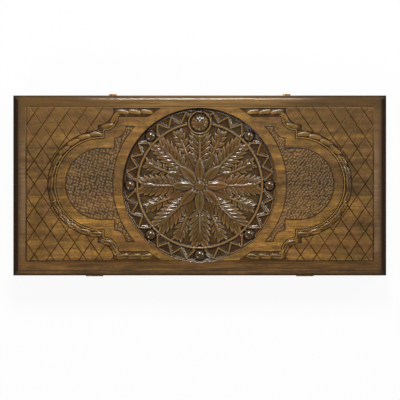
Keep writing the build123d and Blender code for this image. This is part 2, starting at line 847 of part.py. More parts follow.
parts["lid_carved_panel"] = carved_panel()
parts["lid_medallion"] = medallion()
parts["lid_hinge_rail"] = lid_side(hinge_rail)
parts["lid_clasp_rail"] = lid_side(clasp_rail) - clasp_screws(plate_screw_z, screw_gap)
parts["lid_left_rail"] = lid_side(short_rail(-1))
parts["lid_right_rail"] = lid_side(short_rail(1))
parts["lid_playing_board"] = lid_side(tray_board)
parts["lid_light_points"] = [lid_side(p) for p in dark_inlays]
parts["lid_dark_points"] = [lid_side(p) for p in light_inlays]
parts["lid_hinge_screws"] = [lid_side(s) for s in hinge_screws()]
parts["lid_clasp_screws"] = clasp_screws(plate_screw_z)

for side, s in (("left", -1), ("right", 1)):
    half = hinge_length / 2
    parts[f"tray_hinge_leaf_{side}"] = tray_leaf(s * hinge_x)
    parts[f"lid_hinge_leaf_{side}"] = lid_leaf(s * hinge_x)
    parts[f"hinge_pin_{side}"] = rod(
        hinge_pin_radius, s * hinge_x - half, s * hinge_x + half, hinge_axis_y, parting_z
    )
    parts[f"clasp_plate_{side}"] = clasp_plate(s * clasp_x)
    parts[f"clasp_hasp_{side}"] = hasp(s * clasp_x)
    parts[f"clasp_catch_{side}"] = catch(s * clasp_x)
    parts[f"clasp_pin_{side}"] = clasp_pin(s * clasp_x)

parts["light_checkers"] = checker_row(-1)
parts["dark_checkers"] = checker_row(1)
parts["dice"] = dice()

os.makedirs("parts", exist_ok=True)
for name, shape in parts.items():
    if isinstance(shape, (list, ShapeList)):
        shape = Compound([solid for piece in shape for solid in piece.solids()])
    export_step(shape, f"parts/{name}.step")
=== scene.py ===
from itertools import product
from math import asin, ceil, cos, degrees, pi, radians, sin

import bmesh
import bpy
import numpy as np
from mathutils import Matrix, Vector


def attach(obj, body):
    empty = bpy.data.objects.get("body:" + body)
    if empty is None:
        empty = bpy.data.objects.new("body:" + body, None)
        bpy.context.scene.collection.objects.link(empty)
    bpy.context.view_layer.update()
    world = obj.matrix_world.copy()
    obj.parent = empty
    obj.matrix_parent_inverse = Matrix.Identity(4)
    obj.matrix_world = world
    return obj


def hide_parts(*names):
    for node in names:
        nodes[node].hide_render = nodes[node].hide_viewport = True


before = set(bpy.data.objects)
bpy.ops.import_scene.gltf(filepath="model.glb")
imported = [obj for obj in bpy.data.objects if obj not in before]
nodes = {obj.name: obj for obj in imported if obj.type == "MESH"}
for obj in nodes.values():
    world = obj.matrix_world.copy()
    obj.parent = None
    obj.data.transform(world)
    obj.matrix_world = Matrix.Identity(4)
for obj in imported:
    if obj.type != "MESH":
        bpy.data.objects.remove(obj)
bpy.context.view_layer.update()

# The case, in millimetres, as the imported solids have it
lid_top = 76
parting = 38
board_top = 20
field_shift = 2.2
field_half_x, field_half_y = 269.5, 119.5

# Carved cartouches: arc radius, notch x, curl start y and curl radius of each outline
cartouche_x = 153.1
ground_line = (56, 133, 72, 17.9)
band_inner_line = (69.8, 147.8, 82.2, 22)
band_outer_line = (83.6, 158.5, 91.9, 24.5)
ground_inner_radius = 134.3
ground_depth = 1.4
band_depth = 2
strip_far_x, strip_near_x, strip_margin = 60.4, 80.2, 1.6
leaf_pitch = 18.6

# Medallion
medallion_radius = 120.3
medallion_base = 11
ring_radius, ring_width = 97, 3.2
rim_floor, rosette_floor = 6, 7
bead_ring, bead_radius, bead_count = 108.4, 8.2, 8
top_boss_place, top_boss_radius, top_boss_ring = 97.5, 13.9, 17.2
zigzag_inner, zigzag_outer = 101.4, 115.4

# Metalwork: places along the case, pin axes (y, z), and radii of knuckle, bore and pin
hinge_x, hinge_axis, hinge_roll = 165, (-140.4, parting), (1.99, 0.82, 0.8)
clasp_x, clasp_axis, clasp_roll = 136, (141.8, 42), (1.72, 0.62, 0.6)
clasp_plate_y = 140.8


# Shader graphs


def linear(tone):
    """Colour given as it looks on screen, 0 to 255, turned into light values."""
    values = [c / 255 for c in tone]
    return tuple(c / 12.92 if c <= 0.04045 else ((c + 0.055) / 1.055) ** 2.4 for c in values) + (1,)


class Graph:
    """Adds nodes to one tree and links them as it goes."""

    def __init__(self, tree):
        self.tree = tree

    def add(self, kind, inputs=(), **settings):
        node = self.tree.nodes.new("ShaderNode" + kind)
        for name, value in settings.items():
            setattr(node, name, value)
        for name, value in dict(inputs).items():
            self.set(node.inputs[name], value)
        return node

    def set(self, socket, value):
        if isinstance(value, bpy.types.NodeSocket):
            self.tree.links.new(value, socket)
        else:
            socket.default_value = value

    def math(self, operation, a, b=0, clamp=False):
        return self.add("Math", {0: a, 1: b}, operation=operation, use_clamp=clamp).outputs[0]

    def times(self, *values):
        """Product of several values."""
        result = values[0]
        for value in values[1:]:
            result = self.math("MULTIPLY", result, value)
        return result

    def less(self, a, b):
        return self.math("SUBTRACT", a, b)

    def vector(self, operation, a, b=(0, 0, 0), output=0):
        return self.add("VectorMath", {0: a, 1: b}, operation=operation).outputs[output]

    def split(self, point):
        """The three coordinates of a point."""
        return tuple(self.add("SeparateXYZ", {0: point}).outputs)

    def ramp(self, value, low, high, to_low=0, to_high=1):
        """Smooth step from to_low at low to to_high at high."""
        inputs = dict(enumerate((value, low, high, to_low, to_high)))
        return self.add("MapRange", inputs, interpolation_type="SMOOTHSTEP").outputs[0]

    def mix(self, factor, a, b, blend="MIX"):
        """Colour between a and b."""
        inputs = {0: factor, 6: a, 7: b}
        return self.add("Mix", inputs, data_type="RGBA", blend_type=blend, clamp_factor=True).outputs[2]

    def grey(self, level):
        return self.add("CombineColor", {0: level, 1: level, 2: level}).outputs[0]

    def noise(self, point, scale, detail=3, roughness=0.5):
        """Cloudy noise at one scale, or at a scale of its own along each axis."""
        if isinstance(scale, tuple):
            point, scale = self.vector("MULTIPLY", point, scale), 1
        inputs = {"Vector": point, "Scale": scale, "Detail": detail, "Roughness": roughness}
        return self.add("TexNoise", inputs).outputs["Fac"]

    def patches(self, point, scale, levels, to=(0, 1), detail=3, roughness=0.5):
        """Noise ramped from its low level to its high one."""
        return self.ramp(self.noise(point, scale, detail, roughness), *levels, *to)

    def attribute(self, name):
        """Value that the mesh carries at its vertices."""
        return self.add("Attribute", attribute_name=name).outputs["Fac"]

    def feed(self, node, **inputs):
        """Sets or links inputs by their names, with _ for each space."""
        for key, value in inputs.items():
            self.set(node.inputs[key.replace("_", " ")], value)
        return node

    def group(self, name, **inputs):
        return self.feed(self.add("Group", node_tree=bpy.data.node_groups[name]), **inputs).outputs


def millimetres(graph):
    """Point of the piece at rest, in millimetres."""
    inputs = {0: graph.add("TexCoord").outputs["Object"], "Scale": 1000}
    return graph.add("VectorMath", inputs, operation="SCALE").outputs[0]


def effect(name, numbers, *outputs):
    """New node group that takes a point and numbers (name: default) and puts out named values."""
    tree = bpy.data.node_groups.new(name, "ShaderNodeTree")
    sockets = [("INPUT", "Point"), *[("INPUT", n) for n in numbers], *[("OUTPUT", n) for n in outputs]]
    for way, label in sockets:
        kind = "NodeSocketVector" if label == "Point" else "NodeSocketFloat"
        socket = tree.interface.new_socket(label, in_out=way, socket_type=kind)
        if way == "INPUT" and label in numbers:
            socket.default_value = numbers[label]
    start, end = tree.nodes.new("NodeGroupInput"), tree.nodes.new("NodeGroupOutput")
    return Graph(tree), start.outputs, end.inputs


def make_wood_figure():
    """Figure of planed timber: long streaks, fine lines and the short flecks of beech."""
    g, given, result = effect(
        "Wood figure", {"Streak length": 160, "Streak width": 7}, "Streak", "Line", "Fleck", "Cloud"
    )
    point = given["Point"]
    along, across = (g.math("DIVIDE", 1, given["Streak " + way]) for way in ("length", "width"))
    scale = g.add("CombineXYZ", {"X": along, "Y": across, "Z": across}).outputs[0]
    waver = g.noise(point, (0.006, 0.02, 0.02), 2)
    sway = g.add("CombineXYZ", {"Y": g.times(waver, 26)}).outputs[0]
    bent = g.vector("ADD", point, sway)
    streak = g.noise(g.vector("MULTIPLY", bent, scale), 1, 4, 0.62)
    g.set(result["Streak"], g.ramp(streak, 0.30, 0.70))
    g.set(result["Line"], g.patches(bent, (0.018, 0.95, 0.95), (0.35, 0.65), roughness=0.6))
    fleck = g.patches(point, (0.30, 1.9, 1.9), (0.60, 0.72), detail=1, roughness=0.4)
    g.set(result["Fleck"], fleck)
    g.set(result["Cloud"], g.patches(point, (0.016, 0.034, 0.034), (0.30, 0.70), roughness=0.55))


def make_glued_staves():
    """Panel glued up from staves side by side across Y, each with its own tone and its own figure."""
    g, given, result = effect("Glued staves", {"Width": 48, "First joint": 32}, "Point", "Tone", "Joint")
    y = g.split(given["Point"])[1]
    run = g.math("DIVIDE", g.less(y, given["First joint"]), given["Width"])
    number = g.math("ADD", g.math("FLOOR", run), 4.5)
    tone = g.add("TexWhiteNoise", {"W": number}, noise_dimensions="1D").outputs["Value"]
    shift = g.times(tone, 900)
    offset = g.add("CombineXYZ", {"X": shift, "Y": g.times(shift, 0.37)}).outputs[0]
    g.set(result["Point"], g.vector("ADD", given["Point"], offset))
    g.set(result["Tone"], tone)
    from_middle = g.math("ABSOLUTE", g.less(g.math("FRACT", run), 0.5))
    g.set(result["Joint"], g.ramp(from_middle, 0.488, 0.497))


def make_cut_stain_and_shade():
    """Dark stain that settles in cuts, with painted shade in them: depth in millimetres to a mask, uneven
    along the cut.
    """
    g, given, result = effect("Stained and shaded cuts", {"Depth": 0, "Full depth": 0.8}, "Mask")
    uneven = g.patches(given["Point"], 0.22, (0.3, 0.7), (0.8, 1.3), detail=2)
    g.set(result["Mask"], g.ramp(given["Depth"], 0.05, g.times(given["Full depth"], uneven)))


def make_hand_polish():
    """Uneven gloss of a lacquered surface that is handled: smears, and fine scratches."""
    g, given, result = effect("Hand polish", {"Gloss": 0.3, "Spread": 0.12}, "Roughness")
    smear = g.less(g.noise(given["Point"], (0.03, 0.05, 0.05), 4, 0.65), 0.5)
    rough = g.math("ADD", given["Gloss"], g.times(smear, given["Spread"]))
    scratch = g.patches(given["Point"], (0.5, 0.06, 0.5), (0.66, 0.74), (0, 0.08), detail=2)
    g.set(result["Roughness"], g.math("ADD", rough, scratch, clamp=True))


def new_material(name):
    """Material with one Principled shader, and its graph."""
    material = bpy.data.materials.new(name)
    material.use_nodes = True
    graph = Graph(material.node_tree)
    return material, graph, material.node_tree.nodes["Principled BSDF"]


def lacquer(g, shader, coat, coat_roughness, specular=0.5):
    """Fixed values of a lacquered surface, set on the shader itself."""
    g.feed(shader, Coat_Weight=coat, Coat_Roughness=coat_roughness, Specular_IOR_Level=specular)


def bump(g, shader, height, distance, strength):
    """Height in the surface, with its full depth in metres."""
    relief_node = g.add("Bump", {"Height": height, "Distance": distance, "Strength": strength})
    g.feed(shader, Normal=relief_node.outputs[0])


def wood_colour(g, figure, tones, pores, *layers):
    """Colour of timber in its light, dark and pore tone: streaks, lines and flecks, then layers."""
    light, dark, pore = tones
    streaks = (figure["Streak"], 1, light), (figure["Line"], 0.5, dark), (figure["Fleck"], pores, pore)
    return layered(g, linear(dark), *streaks, *layers)


def layered(g, colour, *layers):
    """Colour under layers: (mask, strength, tone) lays a tone over it, and (mask, low, high)
    multiplies it by a grey that goes from low to high with the mask."""
    for mask, first, second in layers:
        if isinstance(second, tuple):
            colour = g.mix(g.times(mask, first), colour, linear(second))
        else:
            grey = g.grey(g.ramp(mask, 0, 1, first, second))
            colour = g.mix(1, colour, grey, "MULTIPLY")
    return colour


def wood_surface(g, shader, point, figure, colour, gloss, uneven=0.12, lines=0.4, pores=0.0001, strength=0.4):
    """Colour, hand polish, and lines and pores in relief; pores gives their depth in metres."""
    polish = g.group("Hand polish", Point=point, Gloss=gloss, Spread=uneven)
    g.feed(shader, Base_Color=colour, Roughness=polish["Roughness"])
    height = g.less(g.times(figure["Line"], lines), figure["Fleck"])
    bump(g, shader, height, pores, strength)


def lid_timber(g, point, x, y, out_x):
    """Colour of the lid's staves with their patches and their figure: lighter in the middle, darker towards
    the ends and the right, and darker towards the clasps as painted shade.
    """
    staves = g.group("Glued staves", Point=point, Width=48.5, First_joint=32.5)
    figure = g.group("Wood figure", Point=staves["Point"], Streak_length=150, Streak_width=6.5)
    pale_stave = g.times(g.ramp(y, -15.3, -16.7), g.ramp(x, 60, -120))
    dark_stave = g.times(g.ramp(y, -16.5, -15.5), g.ramp(y, 36, 22), g.ramp(out_x, 70, 150))
    drift = g.noise(point, 0.052, 2)
    colour = wood_colour(
        g, figure, ((144, 105, 44), (90, 61, 23), (60, 36, 12)), 0.7,
        (figure["Cloud"], 0.78, 1.19),
        (g.patches(point, (0.15, 0.36, 0.36), (0.34, 0.66), roughness=0.65), 0.82, 1.19),
        (staves["Tone"], 0.9, 1.05),
        (g.patches(point, 0.014, (0.36, 0.6)), 0.82, 1.08),
        (g.patches(point, 0.085, (0.34, 0.66), roughness=0.6), 0.82, 1.16),
        (g.ramp(out_x, 170, 262), 1.17, 0.94),
        (g.ramp(x, 130, 250), 1.02, 0.91),
        (pale_stave, 0.98, 1.1),
        # Painted shade: darker towards the clasps, evening out the stronger light of the key lamp there
        (g.ramp(y, -110, 130), 1.1, 0.94),
        (g.patches(point, (0.012, 0.03, 0.03), (0.5, 0.7), detail=2), 0.3, (124, 78, 36)),
        (g.ramp(drift, 0.52, 0.66), 0.35, (134, 92, 58)),
        (g.ramp(drift, 0.47, 0.36), 0.3, (112, 92, 38)),
        (dark_stave, 1, 0.9),
        (staves["Joint"], 0.35, (66, 44, 18)),
    )
    return colour, figure


def lid_border(g, colour, point, x, y, out_x, near_end):
    """Tones of the plain border round the field, of the field by the clasps and of the outer edges, with a
    painted sheen in the middle of the clasp side and painted shade on the rounded edges.
    """
    side = g.ramp(out_x, field_half_x - 2.5, field_half_x + 1.5)
    shifted = g.math("ABSOLUTE", g.less(y, field_shift))
    border = g.math("MAXIMUM", side, g.ramp(shifted, field_half_y - 2, field_half_y + 2))
    paler = g.times(
        side, g.ramp(out_x, 284, 273), g.ramp(shifted, 122, 96), g.ramp(y, 110, 10, 0.25, 0.7),
        g.patches(point, 0.045, (0.3, 0.6), (0.3, 1), detail=2),
    )
    clasp_side = g.times(border, g.ramp(y, 116, 121))
    grain = g.patches(point, (0.014, 0.3, 0.3), (0.36, 0.64), (-0.5, 0.5), roughness=0.65)
    grain = g.times(grain, g.less(border, g.times(side, 0.55)))
    return layered(
        g, colour,
        (border, 0.5, (88, 56, 25)),
        (paler, 1, (136, 108, 76)),
        (clasp_side, 0.5, (104, 70, 6)),
        # Painted sheen: the middle of the border on the clasp side lighter, as the key lamp's reflection
        (g.times(clasp_side, g.ramp(out_x, 190, 60)), 0.5, (142, 106, 50)),
        (g.times(clasp_side, g.ramp(x, -130, -220)), 1, 0.94),
        (g.math("ADD", grain, 0.5), 0.72, 1.26),
        (g.times(g.ramp(y, -117, -121), g.ramp(out_x, 210, 90)), 1, 0.9),
        (g.times(g.ramp(y, 50, 118), g.ramp(out_x, 110, 170)), 0.5, (94, 64, 10)),
        (g.times(border, g.ramp(y, 90, -100)), 1, 0.84),
        (g.times(clasp_side, g.ramp(x, 100, 200)), 1, 0.7),
        # Ends near black and the long edges darker: dark stain, and painted shade of the rounded edges that
        # turn away from the lamps
        (near_end, 0.96, (28, 20, 9)),
        (g.ramp(g.math("ABSOLUTE", y), 133, 139), 0.6, (50, 34, 16)),
    )


def lit_walls(g, point, y, depth, flat):
    """Mask of the walls of cuts that look toward the lamp over the clasps, where a painted highlight makes
    them paler.
    """
    level = (1, 1, 0)
    toward = g.vector("SUBTRACT", (0, 320, 0), g.vector("MULTIPLY", point, level))
    normal = g.vector("MULTIPLY", g.add("TexCoord").outputs["Normal"], level)
    facing = g.vector("DOT_PRODUCT", normal, g.vector("NORMALIZE", toward), "Value")
    return g.times(g.ramp(facing, 0.2, 0.55), g.ramp(y, 40, 112), g.ramp(depth, 0.02, 0.2), flat)


def lid_wood(name, relief_piece=False, gloss=0.36, coat=0.1, specular=0.4, cut_darkness=0.35):
    """Golden-brown stained beech of the carved lid, with dark stain and painted shade in every cut, painted
    highlights on the edges of the cuts and on their walls that face the key lamp, and dark stain with painted
    shade along the edges.
    """
    material, g, shader = new_material(name)
    point = millimetres(g)
    x, y, z = g.split(point)
    out_x = g.math("ABSOLUTE", x)
    near_end = g.ramp(out_x, 274.5, 287)
    moulding = g.ramp(g.math("ABSOLUTE", y), 129.5, 131)
    flat = g.less(1, moulding)
    colour, figure = lid_timber(g, point, x, y, out_x)
    colour = lid_border(g, colour, point, x, y, out_x, near_end)
    depth = g.less(lid_top, z)
    stain_and_shade = g.group("Stained and shaded cuts", Point=point, Depth=depth, Full_depth=0.4)["Mask"]
    if relief_piece:
        # In the relief pieces the cut stain and painted shade join the painted shade of their hollows, and
        # what stands proud gets painted light
        stain_and_shade = g.math("MAXIMUM", g.times(stain_and_shade, cut_darkness), g.attribute("hollow"))
        layers = [(g.attribute("proud"), 0.6, (172, 134, 70))]
    else:
        worn = g.patches(point, 0.028, (0.38, 0.62), (0.6, 1), detail=2)
        # Cut stain and shade paler towards the clasps, where the cuts catch the key lamp: painted light
        paler_towards_lamp = g.times(g.ramp(y, 20, 90, 1, 0.84), g.ramp(y, 104, 121, 1, 0.35))
        stain_and_shade = g.times(stain_and_shade, flat, worn, paler_towards_lamp)
        # Painted highlight: a pale lip just below the top along every cut
        layers = [(g.times(g.ramp(depth, 0, 0.08), g.ramp(depth, 0.5, 0.2)), 0.25, (160, 126, 72))]
    # Dark stain and painted shade in the cuts
    layers.append((stain_and_shade, 0.92, (44, 25, 8)))
    if not relief_piece:
        # Painted highlight: walls of the cuts that face the key lamp made paler, as its reflection
        layers.append((lit_walls(g, point, y, depth, flat), 0.55, (166, 138, 106)))
    strip = g.times(g.ramp(y, 130.5, 133), g.ramp(out_x, 215, 130))
    duller = g.times(g.math("MAXIMUM", moulding, near_end), 0.36)
    level = g.math("ADD", gloss, g.less(duller, g.times(strip, 0.52)))
    colour = layered(g, colour, *layers)
    wood_surface(g, shader, point, figure, colour, level, pores=0.00012, strength=0.5)
    lacquer(g, shader, coat, 0.15, specular)
    if coat and not relief_piece:
        g.feed(shader, Coat_Weight=g.times(flat, coat))
    return material


def medallion_wood():
    """Cooler and darker wood of the medallion, with painted light on what stands proud, stain and painted
    shade in the hollows, glossiest on the beads.
    """
    material, g, shader = new_material("medallion_wood")
    point = millimetres(g)
    figure = g.group("Wood figure", Point=point, Streak_length=120, Streak_width=5)
    patch = g.noise(point, 0.035, 2)
    colour = wood_colour(
        g, figure, ((101, 71, 31), (73, 49, 20), (46, 28, 11)), 0.35,
        (figure["Cloud"], 0.84, 1.12),
        (g.ramp(patch, 0.52, 0.68), 0.45, (118, 72, 34)),
        (g.ramp(patch, 0.48, 0.34), 0.4, (90, 80, 44)),
        # Painted light on what stands proud, and stain with painted shade in the hollows
        (g.attribute("proud"), 0.6, (164, 126, 74)),
        (g.attribute("hollow"), 0.97, (24, 14, 6)),
    )
    ring = g.vector("LENGTH", g.vector("MULTIPLY", point, (1, 1, 0)), output="Value")
    bead = g.times(g.ramp(ring, 98, 100), g.ramp(g.split(point)[2], 72.6, 73.6))
    wood_surface(g, shader, point, figure, colour, g.less(0.27, g.times(bead, 0.06)), lines=0)
    coat = 0.42
    lacquer(g, shader, coat, 0.1, 0.32)
    g.feed(shader, Coat_Weight=g.ramp(bead, 0, 1, coat, 1))
    return material


def plain_wood(name, light, dark, pore, along="X", gloss=0.36, coat=0.12, staves=0):
    """Lacquered timber with its grain along X or Y, in one piece or in staves of a width."""
    material, g, shader = new_material(name)
    point = millimetres(g)
    turn = (0, 0, pi / 2 if along == "Y" else 0)
    turned = g.add("VectorRotate", {"Vector": point, "Rotation": turn}, rotation_type="EULER_XYZ").outputs[0]
    stave_tones = []
    if staves:
        glued = g.group("Glued staves", Point=turned, Width=staves, First_joint=-7)
        turned = glued["Point"]
        stave_tones.append((glued["Tone"], 0.88, 1.08))
    figure = g.group("Wood figure", Point=turned, Streak_length=140, Streak_width=6)
    tones = light, dark, pore
    colour = wood_colour(g, figure, tones, 0.55, (figure["Cloud"], 0.88, 1.1), *stave_tones)
    wood_surface(g, shader, point, figure, colour, gloss, uneven=0.14)
    lacquer(g, shader, coat, 0.2, 0.3)
    return material


def aged_brass():
    """Brass with brown tarnish in patches and fine rubbing."""
    material, g, shader = new_material("aged_brass")
    point = millimetres(g)
    patch = g.patches(point, 0.35, (0.42, 0.62), detail=4, roughness=0.6)
    tarnish = g.patches(point, 1.6, (0.58, 0.7), roughness=0.6)
    colour = layered(g, linear((167, 131, 73)), (patch, 1, (106, 77, 44)), (tarnish, 1, (63, 46, 28)))
    roughness = g.math("ADD", 0.24, g.times(patch, 0.2))
    g.feed(shader, Base_Color=colour, Metallic=1, Roughness=roughness)
    bump(g, shader, g.noise(point, (0.8, 6, 6), 2), 0.00005, 0.3)
    return material


def smooth_finish(name, fresh, aged, scale, gloss_scale, rough, detail):
    """Plastic or enamel whose colour goes from fresh to aged in patches, and its gloss with it."""
    material, g, shader = new_material(name)
    point = millimetres(g)
    colour = g.mix(g.patches(point, scale, (0.35, 0.65), detail=detail), linear(fresh), linear(aged))
    roughness = g.patches(point, gloss_scale, (0.3, 0.7), rough, detail=detail)
    g.feed(shader, Base_Color=colour, Roughness=roughness)
    return material, g, shader, point


def dice_ivory():
    """Polished ivory-coloured plastic, a little yellow with age."""
    tones = (236, 229, 208), (222, 210, 180)
    material, g, shader, point = smooth_finish("dice_ivory", *tones, 0.12, 0.5, (0.16, 0.3), 3)
    bump(g, shader, g.noise(point, 1.2, 2), 0.00005, 0.2)
    lacquer(g, shader, 0.3, 0.08)
    return material


# Meshes


def placed(name, data):
    """Object of the scene that holds a mesh, a lamp or a camera."""
    thing = bpy.data.objects.new(name, data)
    bpy.context.scene.collection.objects.link(thing)
    return thing


def add_piece(name, vertices, faces, body, slot, material):
    """Smooth object from vertices in millimetres, riding on a body."""
    mesh = bpy.data.meshes.new(name)
    points = np.asarray(vertices, float) * 0.001
    mesh.from_pydata(points.tolist(), [], [list(f) for f in faces])
    mesh.update()
    mesh.materials.append(material)
    mesh.shade_smooth()
    piece = placed(name, mesh)
    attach(piece, body)
    return piece


def join(pieces):
    """Vertices and faces of several (vertices, faces) in one."""
    vertices, faces = [], []
    for part_vertices, part_faces in pieces:
        base = len(vertices)
        vertices.extend(tuple(v) for v in part_vertices)
        faces.extend([base + i for i in f] for f in part_faces)
    return vertices, faces


def moved(part, matrix):
    """A (vertices, faces) part placed by a matrix."""
    vertices, faces = part
    return [tuple(matrix @ Vector(v)) for v in vertices], faces


def lathe(profile, steps=48):
    """Turned part about Z from (radius, z) points, closed where the radius is 0."""
    vertices, faces, rows = [], [], []
    for radius, z in profile:
        if radius == 0:
            rows.append([len(vertices)] * steps)
            vertices.append((0, 0, z))
        else:
            rows.append(list(range(len(vertices), len(vertices) + steps)))
            for k in range(steps):
                a = 2 * pi * k / steps
                vertices.append((radius * cos(a), radius * sin(a), z))
    for low, high in zip(rows, rows[1:]):
        for k in range(steps):
            n = (k + 1) % steps
            face = [low[k], low[n], high[n], high[k]]
            face = [v for i, v in enumerate(face) if v != face[i - 1]]
            if len(face) > 2:
                faces.append(face)
    return vertices, faces


def blurred(field, reach):
    """Mean of a height grid over a square of cells."""
    size = 2 * reach + 1
    for axis in (0, 1):
        pad = [(reach + 1, reach) if a == axis else (0, 0) for a in (0, 1)]
        total = np.cumsum(np.pad(field, pad, mode="edge"), axis=axis)
        high = np.take(total, range(size, total.shape[axis]), axis=axis)
        low = np.take(total, range(0, total.shape[axis] - size), axis=axis)
        field = (high - low) / size
    return field


def nearest_on(outline, x, y, closed=True):
    """Distance to an outline and the nearest point on it, for many points."""
    a = np.asarray(outline, float)
    a, b = (a, np.roll(a, -1, axis=0)) if closed else (a[:-1], a[1:])
    run = b - a
    length = (run**2).sum(1) + 1e-12
    best = np.full(x.shape, 1e9)
    near_x, near_y = x.copy(), y.copy()
    for (ax, ay), (rx, ry), squared in zip(a, run, length):
        t = np.clip(((x - ax) * rx + (y - ay) * ry) / squared, 0, 1)
        px, py = ax + t * rx, ay + t * ry
        d = np.hypot(x - px, y - py)
        closer = d < best
        best = np.where(closer, d, best)
        near_x, near_y = np.where(closer, px, near_x), np.where(closer, py, near_y)
    return best, near_x, near_y


def inside(outline, x, y):
    """Which points lie inside a closed outline."""
    a = np.asarray(outline, float)
    b = np.roll(a, -1, axis=0)
    hit = np.zeros(x.shape, bool)
    for (ax, ay), (bx, by) in zip(a, b):
        if ay == by:
            continue
        crosses = (ay > y) != (by > y)
        hit ^= crosses & (x < (bx - ax) * (y - ay) / (by - ay) + ax)
    return hit


def relief(name, spacing, box, edge, height, base, slot, material, centre=(0, 0), depth=1):
    """Carved surface of the lid on a grid, trimmed to an edge and closed down to a base.

    box gives the lowest and highest x, then y, of the grid.
    edge(x, y) gives which points are inside, how far the edge is and the nearest point on it.
    height(x, y, distance) gives the height over the lid's top, below 0, and where a cut is darkened by stain
    and painted shade.
    depth says how dark the hollows get.
    """
    x, y = np.meshgrid(*[np.arange(low, high + spacing, spacing) for low, high in box])
    within, distance, near_x, near_y = edge(x, y)
    deep, dark = height(x, y, np.where(within, distance, 0))
    # A hollow lies below the mean height close by or farther round it, and a proud place above it: hollows
    # get painted shade with the stain, proud places painted light
    mean, wide = (blurred(deep, max(1, round(reach / spacing))) for reach in (2.2, 6))
    shaded = depth * np.maximum((mean - deep) / 0.75, 0.8 * (wide - deep) / 1.7)
    hollow = np.clip(np.maximum(shaded, dark), 0, 1)
    proud = np.clip((deep - mean) / 0.75, 0, 1) * (1 - dark)
    # Cells of the grid with their middle inside, and how many of them each point belongs to
    cells = edge(*[0.5 * (grid[:-1, :-1] + grid[1:, 1:]) for grid in (x, y)])
    keep = cells[0] & (cells[1] > 0.25 * spacing)
    corners = ((0, 0), (0, 1), (1, 1), (1, 0))
    around = np.zeros(x.shape, int)
    for down, right in corners:
        around[down : down + keep.shape[0], right : right + keep.shape[1]] += keep
    used = around > 0
    rim = used & (around < 4)
    x, y = np.where(rim, near_x, x), np.where(rim, near_y, y)
    number = np.cumsum(used.ravel()).reshape(used.shape) - 1
    vertices = np.stack([x[used] + centre[0], y[used] + centre[1], lid_top + deep[used]], 1)
    rows, columns = np.nonzero(keep)
    faces = np.stack([number[rows + down, columns + right] for down, right in corners], 1)
    piece = add_piece(name, vertices, faces.tolist(), "lid", slot, material)
    for label, field in (("hollow", hollow), ("proud", proud)):
        layer = piece.data.attributes.new(label, "FLOAT", "POINT")
        layer.data.foreach_set("value", field[used].astype(np.float32))
    sheet = bmesh.new()
    sheet.from_mesh(piece.data)
    border = [e for e in sheet.edges if e.is_boundary]
    for made in bmesh.ops.extrude_edge_only(sheet, edges=border)["geom"]:
        if isinstance(made, bmesh.types.BMVert):
            made.co.z = (lid_top - base) * 0.001
    sheet.to_mesh(piece.data)
    sheet.free()
    return piece


# Outlines of the carving, about the field's own centre on the right


def on_circle(cx, cy, radius, angle):
    """Point of a circle at an angle in degrees."""
    return cx + radius * cos(radians(angle)), cy + radius * sin(radians(angle))


def arc(cx, cy, radius, start, end, step=2):
    """Points along an arc, angles in degrees."""
    count = max(2, ceil(abs(end - start) / step))
    return [on_circle(cx, cy, radius, start + (end - start) * k / count) for k in range(count + 1)]


def cartouche_path(radius, notch_x, curl_y, curl_radius):
    """One outline from the X axis to the end of its curl."""
    if notch_x >= cartouche_x:
        sweep = degrees(np.arccos((notch_x - cartouche_x) / radius))
        points = arc(cartouche_x, 0, radius, 0, sweep)
    else:
        points = arc(cartouche_x, 0, radius, 0, 90) + [(notch_x, radius)]
    return points + arc(notch_x, curl_y + curl_radius, curl_radius, -90, -180, 6)


def closed_both_ways(upper):
    """Upper half of an outline joined to its mirror image below the X axis."""
    return upper + [(x, -y) for x, y in reversed(upper)]


def ground_outline():
    """Edge of the punched ground: the round end of the cartouche and its two horns."""
    upper = cartouche_path(*ground_line)
    turn = degrees(asin(upper[-1][1] / ground_inner_radius))
    return closed_both_ways(upper + arc(0, 0, ground_inner_radius, turn, 0.3))


def band_outlines():
    """Edge of the sunk band that runs round the cartouche."""
    outer = cartouche_path(*band_outer_line)
    inner = cartouche_path(*band_inner_line)
    strip_y = field_half_y - strip_margin
    half = [(strip_near_x, inner[-1][1]), (strip_far_x, strip_y), (outer[-1][0], strip_y)] + outer[::-1]
    return closed_both_ways(half) + closed_both_ways([(x, -y) for x, y in reversed(inner)])


def sided(outline, mirror):
    """Outline given for the right side, mirrored for the left."""
    return [(-x, y) for x, y in outline] if mirror else outline


def outlined_relief(name, spacing, outline, mirror, height, base, material, depth=1):
    """Relief within an outline of the lid's field, on the right side or mirrored on the left."""
    points = sided(outline, mirror)

    def edge(x, y):
        distance, near_x, near_y = nearest_on(points, x, y)
        return inside(points, x, y), distance, near_x, near_y

    box = [(min(row), max(row)) for row in zip(*points)]
    name += "_left" if mirror else "_right"
    centre = (0, field_shift)
    return relief(name, spacing, box, edge, height, base, "stained_beech", material, centre, depth)


def smooth(value, low, high):
    t = np.clip((value - low) / (high - low), 0, 1)
    return t * t * (3 - 2 * t)


